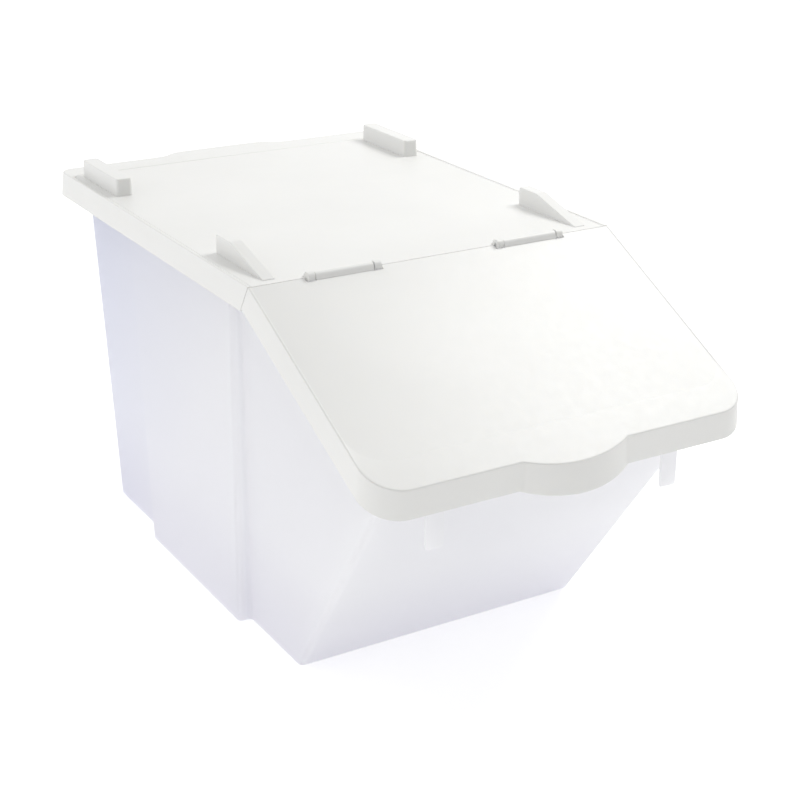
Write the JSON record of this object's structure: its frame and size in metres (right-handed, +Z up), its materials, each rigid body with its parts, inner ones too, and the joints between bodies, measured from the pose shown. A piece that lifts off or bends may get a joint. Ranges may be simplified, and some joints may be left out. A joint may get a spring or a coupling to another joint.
{
  "type": "stackable storage bin",
  "caption": "Translucent tapered storage tub with an opaque two-part lid: a flat rear half with stacking lugs and a sloping hinged front flap.",
  "frame": {"origin": "centre of the bin's bounding box in plan, at the level of its base", "axes": "+Z up, -Y towards the front flap, +X to the right when facing the front"},
  "size_m": [0.3336, 0.613, 0.342],
  "materials": {
    "tub": "frosted translucent polypropylene",
    "lid": "satin white polypropylene",
    "pin": "smooth white acetal"
  },
  "bodies": {
    "tub": {"bin_body": "tub"},
    "lid": {"rear_lid": "lid", "hinge_pin_left": "pin", "hinge_pin_right": "pin"},
    "flap": {"front_flap": "lid"}
  },
  "joints": [
    {"name": "lid_lift", "type": "slide", "parent": "tub", "child": "lid", "axis": [0, 0, 1], "range_m": [0, 0.16]},
    {"name": "flap_hinge", "type": "hinge", "parent": "lid", "child": "flap", "pos_m": [0, -0.10505, 0.3272], "axis": [-1, 0, 0], "range_deg": [0, 192]}
  ]
}
